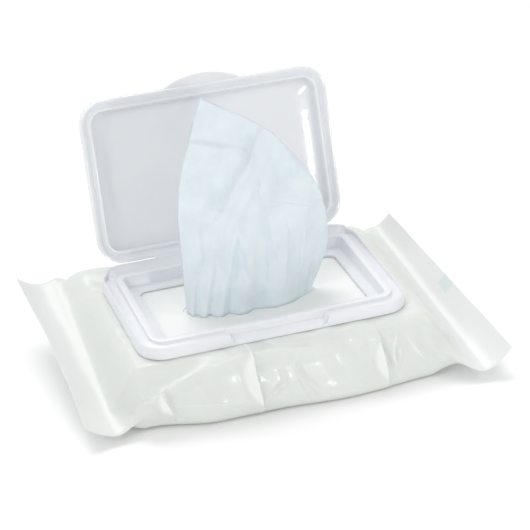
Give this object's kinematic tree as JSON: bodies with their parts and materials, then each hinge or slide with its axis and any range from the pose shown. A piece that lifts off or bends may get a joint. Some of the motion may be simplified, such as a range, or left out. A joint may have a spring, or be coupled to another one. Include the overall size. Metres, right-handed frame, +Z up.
{
  "type": "wet wipes packet",
  "caption": "Soft flow-wrapped packet of wet wipes with a hinged flip-top dispensing lid standing open and a wipe drawn up through the slot.",
  "frame": {"origin": "on the floor, under the middle of the packet", "axes": "+X along the packet's length, +Y towards the lid's hinge, +Z up"},
  "size_m": [0.2375, 0.1573, 0.161],
  "materials": {
    "film": "glossy printed polyethylene and polyester laminate film, pale greenish white",
    "stack": "moist folded non-woven wipes",
    "wipe": "moist spunlace non-woven, pale aqua",
    "glue": "hot-melt adhesive",
    "frame_plastic": "injection-moulded white polypropylene, semi-gloss",
    "lid_plastic": "injection-moulded white polypropylene, glossy"
  },
  "bodies": {
    "pack": {"film_pouch": "film", "wipe_stack": "stack", "pulled_wipe": "wipe", "frame_glue": "glue", "lid_frame": "frame_plastic"},
    "lid": {"lid": "lid_plastic"}
  },
  "joints": [
    {"name": "lid_hinge", "type": "hinge", "parent": "pack", "child": "lid", "pos_m": [0, 0.0477, 0.0467], "axis": [1, 0, 0], "range_deg": [0, 109.15], "deforming": ["pulled_wipe"]}
  ]
}
